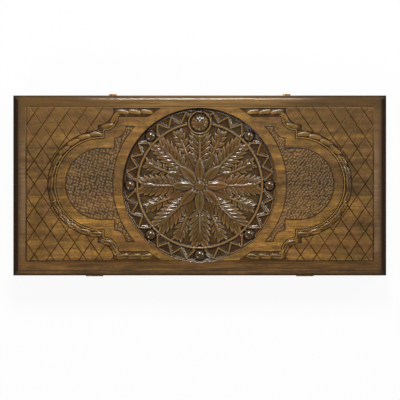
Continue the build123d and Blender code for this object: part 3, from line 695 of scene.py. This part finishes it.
def punched_ground(mirror):
    """Ground punched all over with small leaning pebbles in rows."""
    chance = np.random.default_rng(7 if mirror else 3)
    across, up = ((4.7, -1.3), (1, 4.3)) if mirror else ((4.6, -1.1), (-2, 4.1))
    lean = radians(-42 if mirror else 42)
    half_length, half_width, pebble_height = 2.35, 1.65, 0.9
    count = 160
    jitter = chance.uniform(-1.15, 1.15, (count, count, 2))
    grow = chance.uniform(0.7, 1.15, (count, count))
    area = across[0] * up[1] - across[1] * up[0]

    def height(x, y, distance):
        u = (x * up[1] - y * up[0]) / area + count / 2
        v = (y * across[0] - x * across[1]) / area + count / 2
        best = np.full(x.shape, 9.0)
        for du, dv in product(range(-1, 3), repeat=2):
            i, j = np.floor(u).astype(int) + du, np.floor(v).astype(int) + dv
            ci, cj = np.clip(i, 0, count - 1), np.clip(j, 0, count - 1)
            i, j = i - count / 2, j - count / 2
            cx = i * across[0] + j * up[0] + jitter[ci, cj, 0]
            cy = i * across[1] + j * up[1] + jitter[ci, cj, 1]
            along = (x - cx) * cos(lean) + (y - cy) * sin(lean)
            side = (y - cy) * cos(lean) - (x - cx) * sin(lean)
            best = np.minimum(best, np.hypot(along / half_length, side / half_width) / grow[ci, cj])
        pebble = np.sqrt(np.clip(1 - best**2, 0, 1))
        deep = -ground_depth + 0.06 + pebble_height * pebble * smooth(distance, 1, 2)
        # Dark between the pebbles and along the edge's cut: painted shade with the stain
        return deep, np.maximum(0.78 * smooth(best, 0.8, 1.15), 1 - smooth(distance, 1.1, 1.9))

    outline = ground_outline()
    outlined_relief("punched_ground", 0.62, outline, mirror, height, ground_depth, ground_material)


def ribbon_turns():
    """Place and heading of every turn of the ribbon round the right cartouche."""
    middle_line = [(a + b) / 2 for a, b in zip(band_inner_line, band_outer_line)]
    mid_radius, notch_x, curl_y, curl_radius = middle_line
    half_leaf = 8.8
    step = degrees(leaf_pitch / mid_radius)
    turns = []
    for k in range(1, int(90 / step) + 1):
        turns.append((*on_circle(cartouche_x, 0, mid_radius, k * step), k * step + 90))
    for angle in (-112.5, -157.5):
        turns.append((*on_circle(notch_x, curl_y + curl_radius, curl_radius, angle), angle - 90))
    strip_y = (field_half_y - strip_margin + band_inner_line[2] + band_inner_line[3]) / 2
    x = notch_x - curl_radius - half_leaf
    while x - half_leaf > strip_near_x - 6.4:
        turns.append((x, strip_y, 180))
        x -= leaf_pitch
    both = [(cartouche_x + mid_radius, 0, 90)]
    for x, y, heading in turns:
        both += [(x, y, heading), (x, -y, -heading)]
    return both


def ribbon_band(mirror):
    """Sunk band between two cuts darkened by stain and painted shade, with a twisted ribbon carved along its
    middle.

    Every leaf slopes up from its outer edge. Those of the lower half have a steeper facet
    along their middle, those of the upper half are round.
    """
    leaf_places = (-1, -0.8, -0.3, 0.2, 0.4, 0.75, 1)
    leaf_heights = (0, 0.34, 0.42, 0.97, 1, 0.7, 0)
    half_length, half_width, leaf_height = 11.6, 4.4, 1.92
    turns = ribbon_turns()
    inner_side = sided(closed_both_ways(cartouche_path(*band_inner_line)), mirror)

    def height(x, y, distance):
        from_inner = nearest_on(inner_side, x, y)[0]
        fillet = smooth(from_inner, 0.7, 1.3) * (1 - smooth(from_inner, 2.7, 3.3))
        floor = -band_depth + 0.05 + 1.55 * fillet
        side = np.where(mirror, -x, x)
        best, dark = np.zeros(x.shape), np.zeros(x.shape)
        for tx, ty, heading in turns:
            a = radians(heading)
            near = np.hypot(side - tx, y - ty) < half_length + 1.9
            if not near.any():
                continue
            along = (side[near] - tx) * cos(a) + (y[near] - ty) * sin(a)
            across = -(side[near] - tx) * sin(a) + (y[near] - ty) * cos(a)
            hand = -1 if ty < 0 else 1
            u = along / half_length
            out = np.clip(np.abs(u), 0, 1)
            across = hand * across + 0.8 - 1.5 * u
            q = across / (half_width * (1 - out**3) ** 0.8 + 1e-6)
            faceted = 1 - smooth(ty, 10, 60)
            round_top = np.sqrt(1 - np.clip(np.abs(q), 0, 1) ** 3)
            crown = faceted * np.interp(q, leaf_places, leaf_heights) + (1 - faceted) * round_top
            crown = crown * (1 - 0.2 * out**2)
            lobe = np.where(np.abs(u) < 1, crown * (0.86 + 0.14 * u), 0)
            # Painted shade on each leaf's inner flank and at its start, where the leaf before lies over it
            shadow = smooth(q, 0.45, 0.7) * smooth(u, -1, -0.6) * (1 - smooth(u, 0.35, 0.9))
            shadow = np.maximum(shadow, 0.75 * smooth(-u, 0.48, 0.78))
            higher = lobe > best[near]
            dark[near] = np.where(higher, shadow, dark[near])
            best[near] = np.where(higher, lobe, best[near])
        leaf = -band_depth + leaf_height * best * smooth(distance, 0.3, 1.1)
        floor = floor * (distance > 0.5) - band_depth * (distance <= 0.5)
        # Painted shade in the valley between the fillet and the leaves, and stain with painted shade along
        # the band's edges
        valley = (1 - fillet) * smooth(floor - leaf, -0.25, 0.1)
        dark = np.maximum(np.where(leaf > floor, dark, 0), 0.85 * valley)
        dark = np.maximum(dark, 1 - smooth(distance, 0.9, 1.7))
        return np.minimum(np.maximum(floor, leaf), -0.04), dark

    outline = band_outlines()
    piece = outlined_relief("ribbon_band", 0.6, outline, mirror, height, band_depth, ribbon_material, 0.6)
    piece.data.set_sharp_from_angle(angle=radians(38))


# Medallion: a generic layered rosette inside a ring of beads and zigzag


def blade(along, side, length, half_width, base, rise, groove=0.35, tilt=0):
    """Height of one pointed leaflet that starts at the origin and runs along +X."""
    t = np.clip(along / length, 0, 1)
    width = half_width * (4 * t * (1 - t)) ** 0.7 * (1.15 - 0.3 * t) + 1e-6
    s = np.clip(np.abs(side) / width, 0, 1)
    z = base + rise * np.sqrt(1 - s**2.2) * (0.62 + 0.38 * np.sin(pi * t))
    z = z + tilt * np.clip(side / width, -1, 1) - groove * np.exp(-((side / 0.8) ** 2)) * np.sin(pi * t)
    return np.where((along > 0) & (along < length) & (s < 1), z, -99)


def folded(x, y, count, offset):
    """Points of every one of count equal sectors brought to the first, which lies along +X."""
    r, a = np.hypot(x, y), np.degrees(np.arctan2(y, x)) - offset
    sector = 360 / count
    a = np.radians((a + sector / 2) % sector - sector / 2)
    return r * np.cos(a), r * np.sin(a)


def frond(x, y, count, offset, root, tip, spread, pairs, half_width, base, rise):
    """Ring of feathered leaves: pairs of leaflets along a raised rib."""
    u, v = folded(x, y, count, offset)
    z = np.full(x.shape, -99.0)
    for k in range(pairs):
        f = (k + 0.3) / pairs
        start = root + (tip - root) * 0.86 * f
        reach = spread * (0.55 + 1.25 * f * (1.35 - f))
        heading = radians(58 - 34 * f)
        for hand in (1, -1):
            along = (u - start) * cos(heading) + hand * v * sin(heading)
            side = -(u - start) * sin(heading) + hand * v * cos(heading)
            leaflet = blade(along, side, reach, half_width, base + 0.7 * f, rise, 0.8, -0.45)
            z = np.maximum(z, leaflet)
    end = 0.42 * (tip - root)
    z = np.maximum(z, blade(u - tip + end, v, end, half_width * 1.25, base + 0.9, rise))
    rib = blade(u - root, v, tip - root, 2.2, base + 1, rise, 0)
    return np.maximum(z, rib)


def zigzag_distance(x, y):
    """Distance to the zigzag that runs between each pair of beads."""
    sector, gap, chevrons = 360 / bead_count, 4.5, 3
    r, a = np.hypot(x, y), np.radians((np.degrees(np.arctan2(y, x)) % sector + sector) % sector)
    half = (sector - 2 * gap) / chevrons / 2
    radii = [zigzag_inner, zigzag_outer] * chevrons + [zigzag_inner]
    bends = [on_circle(0, 0, radius, gap + k * half) for k, radius in enumerate(radii)]
    return nearest_on(bends, r * np.cos(a), r * np.sin(a), closed=False)[0]


def raised(z, distance, radius, base, top):
    """Surface with a half-round rise from base to top within a radius."""
    rise = (top - base) * np.sqrt(np.clip(1 - (distance / radius) ** 2, 0, 1))
    return np.where(distance < radius, np.maximum(z, base + rise), z)


def medallion_height(x, y, distance):
    """Depth of the whole medallion below the lid's top, and where it is darkened by stain and painted shadow.
    """
    r = np.hypot(x, y)
    punches = np.sin(x * 2.1 + 0.7 * np.sin(y * 0.9)) * np.sin(y * 2.1 + 0.7 * np.sin(x * 0.8))
    z = np.where(r < ring_radius, -rosette_floor + 0.12 * punches, -rim_floor + 0.06 * punches)
    # Two rings of feathered leaves and two of plain petals
    z = np.maximum(z, frond(x, y, 8, 22.5, 46, 92, 14.5, 5, 3.3, -6.9, 2))
    z = np.maximum(z, frond(x, y, 8, 0, 30, 92.5, 24, 8, 3.7, -6.3, 2.6))
    for offset, length, half_width, base, rise in ((22.5, 48, 9.8, -6.6, 2.6), (0, 38, 7.6, -3.9, 2.6)):
        u, v = folded(x, y, 8, offset)
        petal = blade(u - 6, v, length, half_width, base, rise, 0.7)
        vein = np.cos(v * 30 / (6 + 0.35 * u)) * np.sin(pi * np.clip((u - 6) / length, 0, 1)) ** 0.5
        z = np.maximum(z, petal + 0.16 * vein)
    # Button in the middle with seeds round it
    z = np.where(r < 12.5, np.minimum(z, -3.2), z)
    u, v = folded(x, y, 14, 0)
    z = raised(z, np.hypot(u - 10.7, v), 1.9, -3.2, -1.2)
    z = raised(z, r, 8.2, -3.2, -0.3)
    z = np.where(np.abs(r - 4.6) < 0.6, z - 0.35, z)
    # Ring, zigzag with chipped ground and the two lines of the rim
    z = raised(z, np.abs(r - ring_radius), ring_width / 2 + 0.3, -rosette_floor + 0.8, -3.1)
    zigzag = zigzag_distance(x, y)
    chip = smooth(zigzag, 2.3, 3.6) * (r > ring_radius + 2.5) * (r < 115.5)
    z = raised(z - 0.8 * chip, zigzag, 1.35, -rim_floor, -3.2)
    z = raised(z, np.abs(r - 119.3), 1.2, -rim_floor, -3.6)
    z = raised(z, np.abs(r - 116.7), 1, -rim_floor, -4.8)
    # Beads
    u, v = folded(x, y, bead_count, 0)
    bead = np.hypot(u - bead_ring, v)
    z = np.where(bead < bead_radius + 1.5, np.minimum(z, -rim_floor - 0.2), z)
    z = raised(z, bead, bead_radius, -rim_floor, -0.6)
    # Large boss in its own ring: fluted, with a button
    place, boss_floor = np.hypot(x, y - top_boss_place), -rim_floor - 0.4
    z = np.where(place < top_boss_ring + 2.6, boss_floor, z)
    z = raised(z, np.abs(place - top_boss_ring), 1.5, boss_floor, -2.2)
    ball = raised(-99, place, top_boss_radius, boss_floor, -0.5)
    flute = np.cos(12 * np.arctan2(y - top_boss_place, x)) * smooth(place, 4.4, 8) * (place < 13)
    ball = np.where(place < top_boss_radius, ball + 0.28 * flute - 0.28, ball)
    ball = np.where(np.abs(place - 4.2) < 0.6, ball - 0.5, ball)
    z = np.minimum(np.maximum(z, ball), -0.1)
    # Painted shadow under the rim, deepest on the side away from the hinges where the wall shades the ground
    # from the key lamp; a light stain on the floor of the ring, heavier on the chipped ground; the beads
    # darker, with painted shade round their foot
    upper = smooth(y - 0.35 * x, -60, 70)
    rim_painted_shadow = (0.55 + 0.4 * upper) * smooth(r, 114.5 + 2.5 * (1 - upper), 118.5)
    rim_painted_shadow = rim_painted_shadow * (1 - smooth(z, -4.6, -3.8) * (1 - upper))
    stain_and_shade = np.where((r > ring_radius + 2) & (z < -rim_floor + 0.3), 0.16 + 0.26 * chip, 0)
    stain_and_shade = np.where(bead < bead_radius, 0.42 + 0.58 * smooth(bead, 6.4, 7.6), stain_and_shade)
    return z, np.maximum(rim_painted_shadow * (place > top_boss_ring + 2.6), stain_and_shade)


def carve_medallion():
    """The medallion as one carved surface in place of the plain disc."""

    def edge(x, y):
        r = np.hypot(x, y) + 1e-9
        scale = medallion_radius / r
        return r < medallion_radius, np.abs(medallion_radius - r), x * scale, y * scale

    box = [(-medallion_radius - 1, medallion_radius + 1)] * 2
    piece = relief(
        "carved_medallion", 0.75, box, edge, medallion_height, medallion_base,
        "medallion_wood", medallion_wood(), depth=0.8,
    )
    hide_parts("lid_medallion")


# Game pieces


def turned_checkers(tone, y, material):
    """Row of turned checkers: rounded rim, two rings and a dished middle, on the plain solids' places."""
    r, count, first_x, pitch = 17, 15, -258.5, 36.93
    profile = [
        (0, 0), (r - 2.2, 0), (r - 0.7, 0.35), (r - 0.15, 1.1), (r, 2.4), (r, 7.6), (r - 0.15, 8.9),
        (r - 0.7, 9.65), (r - 1.8, 10), (r - 3.4, 9.9), (r - 3.9, 9.2), (r - 4.5, 8.8), (r - 5.1, 9.2),
        (r - 5.6, 9.55), (r - 7.2, 9.55), (r - 7.8, 9), (r - 8.3, 8.8), (r - 9.2, 8.7), (0, 8.25),
    ]
    one = lathe(profile, 56)
    places = [Matrix.Translation((first_x + pitch * k, y, board_top)) for k in range(count)]
    parts = [moved(one, at @ Matrix.Rotation(0.7 * k, 4, "Z")) for k, at in enumerate(places)]
    node = tone + "_checkers"
    piece = add_piece("turned_" + node, *join(parts), "tray", tone + "_checker_wood", material)
    piece.data.set_sharp_from_angle(angle=radians(40))
    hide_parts(node)


def rounded_dice():
    """Two dice with rounded corners, and their sunk pips as a piece of their own."""
    cubes, pips = bmesh.new(), []
    middle, slant, corners = [(0, 0)], [(-1, -1), (1, 1)], [(-1, -1), (-1, 1), (1, -1), (1, 1)]
    spots = {1: middle, 2: slant, 3: slant + middle, 4: corners, 5: corners + middle}
    spots[6] = corners + [(-1, 0), (1, 0)]
    pip = lathe([(0, 0), (0.9, -0.03), (1.35, -0.10), (1.5, 0.03), (1.62, 0.05), (1.7, -0.02)], 20)
    facing = {1: (0, "X"), 6: (180, "X"), 2: (90, "X"), 5: (-90, "X"), 3: (90, "Y"), 4: (-90, "Y")}
    turns = {value: Matrix.Rotation(radians(angle), 4, axis) for value, (angle, axis) in facing.items()}
    for x, y, angle, tip in ((-13, 4, 24, turns[1]), (12, -7, -11, turns[2])):
        centre = Matrix.Translation((x, y, board_top + 7)) @ Matrix.Rotation(radians(angle), 4, "Z") @ tip
        bmesh.ops.create_cube(cubes, size=13.96, matrix=centre)
        for value, face in turns.items():
            for across, up in spots[value]:
                at = centre @ face @ Matrix.Translation((across * 3.4, up * 3.4, 6.99))
                pips.append(moved(pip, at))
    bmesh.ops.bevel(cubes, geom=cubes.edges[:], offset=2, segments=6, profile=0.5, affect="EDGES")
    cubes.normal_update()
    vertices = [tuple(v.co) for v in cubes.verts]
    faces = [[v.index for v in f.verts] for f in cubes.faces]
    cubes.free()
    piece = add_piece("rounded_dice", vertices, faces, "tray", "dice_plastic", dice_ivory())
    piece.data.set_sharp_from_angle(angle=radians(35))
    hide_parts("dice")
    pip_paint = smooth_finish("pip_enamel", (30, 26, 24), (52, 44, 38), 1.5, 2, (0.3, 0.5), 2)[0]
    spots_piece = add_piece("dice_pips", *join(pips), "tray", "dice_plastic", pip_paint)
    spots_piece["part_of"] = "dice"


# Metalwork


def turned_part(profile, steps, place):
    """Turned part with its axis along X from a place."""
    return moved(lathe(profile, steps), Matrix.Translation(place) @ Matrix.Rotation(pi / 2, 4, "Y"))


def sleeve(roll, x0, x1, axis):
    """Smooth rolled knuckle along X with softened ends and an open bore."""
    radius, bore = roll[:2]
    soft = 0.18
    profile = [
        (bore, x0), (radius - soft, x0), (radius, x0 + soft), (radius, x1 - soft), (radius - soft, x1),
        (bore, x1), (bore, x0),
    ]
    return turned_part(profile, 40, (0, *axis))


def pin_end(radius, x, y, z, out):
    """Low riveted end of a pin, facing along X."""
    tip = 0.25 * out
    profile = [(radius, 0), (radius, 0.4 * tip), (0.6 * radius, 0.85 * tip), (0, tip)]
    return turned_part(profile, 24, (x, y, z))


def slotted_head(radius, at):
    """Screw head with a slot: two half rounds over a lower disc, facing +Z at its place."""
    slot_half, deep = 0.28, 0.35
    parts = [lathe([(0, -deep), (radius, -deep), (radius, -deep - 0.05), (0, -deep - 0.05)], 32)]
    start = np.arcsin(slot_half / radius)
    turns = np.linspace(start, pi - start, 18)
    outline = [(radius * cos(a), radius * sin(a)) for a in turns]
    for hand in (1, -1):
        ring = [(x, hand * y) for x, y in outline]
        count = len(ring)
        crown = [(0.86 * x, hand * slot_half + 0.86 * (y - hand * slot_half), 0.10) for x, y in ring]
        vertices = crown + [(x, y, 0) for x, y in ring] + [(x, y, -deep) for x, y in ring]
        faces = [list(range(count))[::hand]]
        for k in range(count):
            n = (k + 1) % count
            for row in (0, count):
                faces.append([row + k, row + n, row + count + n, row + count + k][:: -hand])
        parts.append((vertices, faces))
    return moved(join(parts), at)


def outer_knuckles(x, reach, roll, axis):
    """Knuckles on both sides of a middle one, from reach[0] to reach[1], with riveted pin ends."""
    parts = []
    for hand in (1, -1):
        near, far = sorted(x + hand * r for r in reach)
        parts.append(sleeve(roll, near, far, axis))
        parts.append(pin_end(roll[2], x + hand * reach[1], *axis, hand))
    return parts


def dress_metalwork(brass):
    """Smooth knuckles, riveted pin ends, finger lips and slotted screw heads over the plain solids."""
    made = {name: [] for name in ("tray_knuckles", "lid_knuckles", "tray_screw_heads", "lid_screw_heads")}
    over, front = Matrix.Rotation(pi, 4, "X"), Matrix.Rotation(-pi / 2, 4, "X")
    for x in (-hinge_x, hinge_x):
        made["tray_knuckles"] += outer_knuckles(x, (7, 13.5), hinge_roll, hinge_axis)
        made["lid_knuckles"].append(sleeve(hinge_roll, x - 6.5, x + 6.5, hinge_axis))
        for s in (1, -1):
            turn = Matrix.Rotation(0.9 * s + x * 0.01, 4, "Z")
            for body, gap, flip in (("tray", -0.1, Matrix()), ("lid", 0.1, over)):
                at = Matrix.Translation((x + s * 8, -135, parting + gap))
                made[body + "_screw_heads"].append(slotted_head(1.78, at @ flip @ turn))
    for side, x in (("left", -clasp_x), ("right", clasp_x)):
        made["lid_knuckles"] += outer_knuckles(x, (3, 6), clasp_roll, clasp_axis)
        finger_lip = sleeve((1.3, 0.05), x - 4.52, x + 4.52, (142.24, 28))
        strap = [sleeve(clasp_roll, x - 2.75, x + 2.75, clasp_axis), finger_lip]
        add_piece("hasp_roll_" + side, *join(strap), "hasp_" + side, "brass", brass)
        for s in (1, -1):
            turn = Matrix.Rotation(1.1 * s + x * 0.02, 4, "Z")
            for body, z in (("tray", 23.7), ("lid", 51.3)):
                at = Matrix.Translation((x + s * 3, clasp_plate_y, z))
                made[body + "_screw_heads"].append(slotted_head(1.56, at @ front @ turn))
    for name, parts in made.items():
        piece = add_piece(name, *join(parts), name.split("_")[0], "brass", brass)
        piece.data.set_sharp_from_angle(angle=radians(35))


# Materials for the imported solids

make_wood_figure()
make_glued_staves()
make_cut_stain_and_shade()
make_hand_polish()

panel_material = lid_wood("stained_beech_lid")
ribbon_material = lid_wood("stained_beech_ribbon", relief_piece=True, gloss=0.26, coat=0.2, cut_darkness=0)
ground_material = lid_wood("stained_beech_ground", relief_piece=True, gloss=0.44, coat=0, specular=0.35)
end_material = lid_wood("stained_beech_ends", gloss=0.7, coat=0, specular=0.2)
underside_material = plain_wood(
    "stained_beech_underside", (120, 90, 50), (88, 62, 32), (64, 42, 20), staves=48.5
)
rail_tones = ((100, 67, 30), (66, 43, 18), (42, 26, 10))
long_rail = plain_wood("edge_wood_long", *rail_tones, gloss=0.42, coat=0.05)
short_rail = plain_wood("edge_wood_short", *rail_tones, along="Y", gloss=0.42, coat=0.05)
board_material = plain_wood(
    "playing_board_beech", (158, 116, 70), (128, 88, 48), (96, 62, 32), gloss=0.3, staves=63
)
light_point = plain_wood("maple_points", (216, 182, 126), (190, 152, 96), (156, 116, 68), gloss=0.28)
dark_point = plain_wood("walnut_points", (88, 54, 32), (56, 33, 20), (34, 20, 12), gloss=0.28)
turned = {"gloss": 0.24, "coat": 0.3}
light_checker = plain_wood("turned_maple", (222, 188, 132), (196, 158, 102), (160, 120, 72), **turned)
dark_checker = plain_wood("turned_walnut", (84, 50, 30), (50, 30, 18), (30, 18, 11), **turned)
brass = aged_brass()

finishes = {"lid_carved_panel": panel_material, "tray_base_panel": underside_material}
for half in ("tray_", "lid_"):
    finishes[half + "hinge_rail"] = finishes[half + "clasp_rail"] = long_rail
    finishes[half + "left_rail"] = finishes[half + "right_rail"] = short_rail
    finishes[half + "playing_board"] = board_material
    finishes[half + "light_points"] = light_point
    finishes[half + "dark_points"] = dark_point
for name, node in nodes.items():
    node.data.materials.clear()
    node.data.materials.append(finishes.get(name, brass))
base_panel = nodes["tray_base_panel"].data
base_panel.materials.append(long_rail)
base_panel.materials.append(short_rail)
for face in base_panel.polygons:
    if abs(face.normal.z) < 0.7:
        face.material_index = 1 if abs(face.normal.y) > abs(face.normal.x) else 2
panel = nodes["lid_carved_panel"].data
panel.materials.append(end_material)
moulding_x, moulding_y = 0.2815, 0.1376
for face in panel.polygons:
    if abs(face.center.x) > moulding_x or abs(face.center.y) > moulding_y:
        face.material_index = 1

# Pieces of the scene

carve_medallion()
for mirror in (False, True):
    punched_ground(mirror)
    ribbon_band(mirror)
turned_checkers("light", -108.5, light_checker)
turned_checkers("dark", 108.5, dark_checker)
rounded_dice()
dress_metalwork(brass)

# Studio

floor_mesh = bpy.data.meshes.new("studio_floor")
reach = 6
corners = [(-reach, -reach, 0), (reach, -reach, 0), (reach, reach, 0), (-reach, reach, 0)]
floor_mesh.from_pydata(corners, [], [(0, 1, 2, 3)])
floor = placed("studio_floor", floor_mesh)
floor.location.z = -0.0002
paper, g, shader = new_material("studio_paper")
g.feed(shader, Base_Color=(0.9, 0.9, 0.9, 1), Roughness=0.9)
rays = g.add("LightPath").outputs
shown = g.math("MAXIMUM", rays["Is Camera Ray"], rays["Is Glossy Ray"])
shown = g.math("MAXIMUM", shown, rays["Is Transmission Ray"])
glow = g.add("Emission", {"Color": (1, 1, 1, 1), "Strength": 1})
mix_inputs = {0: g.times(shown, 0.93), 1: shader.outputs[0], 2: glow.outputs[0]}
blend = g.add("MixShader", mix_inputs)
g.set(paper.node_tree.nodes["Material Output"].inputs[0], blend.outputs[0])
floor_mesh.materials.append(paper)


def soft_box(name, place, width, height, power, tone=(1, 1, 1)):
    """Rectangular studio lamp aimed at the middle of the lid."""
    aim = Vector((0, 0, 0.07))
    lamp = bpy.data.lights.new(name, "AREA")
    lamp.shape = "RECTANGLE"
    lamp.size, lamp.size_y = width, height
    lamp.energy = power
    lamp.color = tone
    holder = placed(name, lamp)
    holder.location = place
    holder.rotation_euler = (aim - Vector(place)).to_track_quat("-Z", "Y").to_euler()


soft_box("key_from_clasps", (0, 1.32, 1.92), 0.36, 0.75, 38)
soft_box("fill_from_hinges", (-1.05, -1.12, 1.4), 0.4, 0.32, 8)
soft_box("fill_right", (1.25, 0.55, 1.3), 0.28, 0.28, 8, (0.93, 0.96, 1))

world = bpy.data.worlds.new("studio_air")
bpy.context.scene.world = world
world.use_nodes = True
air = Graph(world.node_tree)
background = world.node_tree.nodes["Background"]
upward = air.split(air.add("TexCoord").outputs["Generated"])[2]
air.set(background.inputs["Color"], air.grey(air.ramp(upward, 0.05, 0.65, 0.75, 0.07)))

camera_data = bpy.data.cameras.new("photo_camera")
camera_data.lens = 200
camera_data.sensor_width = 36
camera = placed("photo_camera", camera_data)
view_x, view_y, view_z, view_width = 0.0004, -0.0226, 0.0678, 0.62227
camera.location = (view_x, view_y, view_z + view_width * camera_data.lens / camera_data.sensor_width)
bpy.context.scene.camera = camera
bpy.context.scene.view_settings.view_transform = "Standard"
